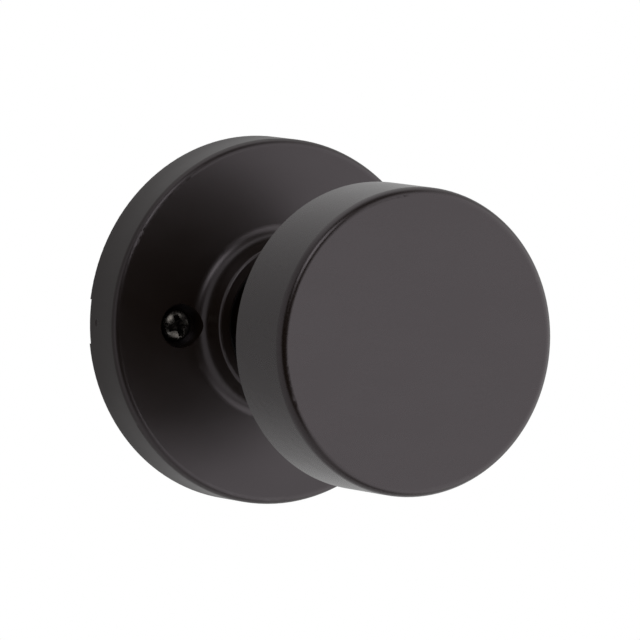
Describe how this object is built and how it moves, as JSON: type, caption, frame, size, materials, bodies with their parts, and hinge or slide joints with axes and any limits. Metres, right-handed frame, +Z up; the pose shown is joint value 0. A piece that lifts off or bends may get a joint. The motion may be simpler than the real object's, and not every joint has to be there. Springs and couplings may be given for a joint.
{
  "type": "door knob",
  "caption": "Round flat-faced door knob on a thin round rose: inside half of a passage set, with return spring, square spindle and two mounting screws.",
  "frame": {"origin": "centre of the rose's rear face, which lies on the door, on the knob's axis", "axes": "+Y into the door along the knob's axis, so the knob points to -Y; +Z up; +X to the right seen from the room"},
  "size_m": [0.066, 0.1127, 0.066],
  "materials": {
    "black_paint": "satin black powder coat over cast zinc and drawn steel",
    "black_oxide": "blackened machine screw",
    "plated_steel": "bright zinc plated pressed steel",
    "spring_steel": "oiled spring steel",
    "cast_zinc": "as-cast zinc alloy",
    "spindle_steel": "zinc plated cold drawn bar, slightly yellow",
    "nylon": "natural nylon",
    "black_nylon": "black nylon"
  },
  "bodies": {
    "root": {"rose": "black_paint", "rose_bushing": "black_nylon", "thrust_washer": "plated_steel", "mounting_plate": "plated_steel", "spring_housing": "plated_steel", "rear_bushing": "nylon", "housing_rivets": "plated_steel", "mounting_screws": "black_oxide", "return_spring": "spring_steel"},
    "knob": {"knob_shell": "black_paint", "knob_back_plate": "black_paint", "knob_core": "cast_zinc", "core_screws": "plated_steel", "knob_shank": "black_paint", "spindle_hub": "cast_zinc", "hub_pins": "spring_steel", "spindle": "spindle_steel", "spindle_clip": "spring_steel", "retaining_ring": "spring_steel", "wave_washer": "spring_steel", "drive_cam": "plated_steel"}
  },
  "joints": [
    {"name": "knob_turn", "type": "hinge", "parent": "root", "child": "knob", "pos_m": [0, 0, 0], "axis": [0, -1, 0], "range_deg": [-50, 50], "stiffness_Nm_per_rad": 0.35, "deforming": ["return_spring"]}
  ]
}
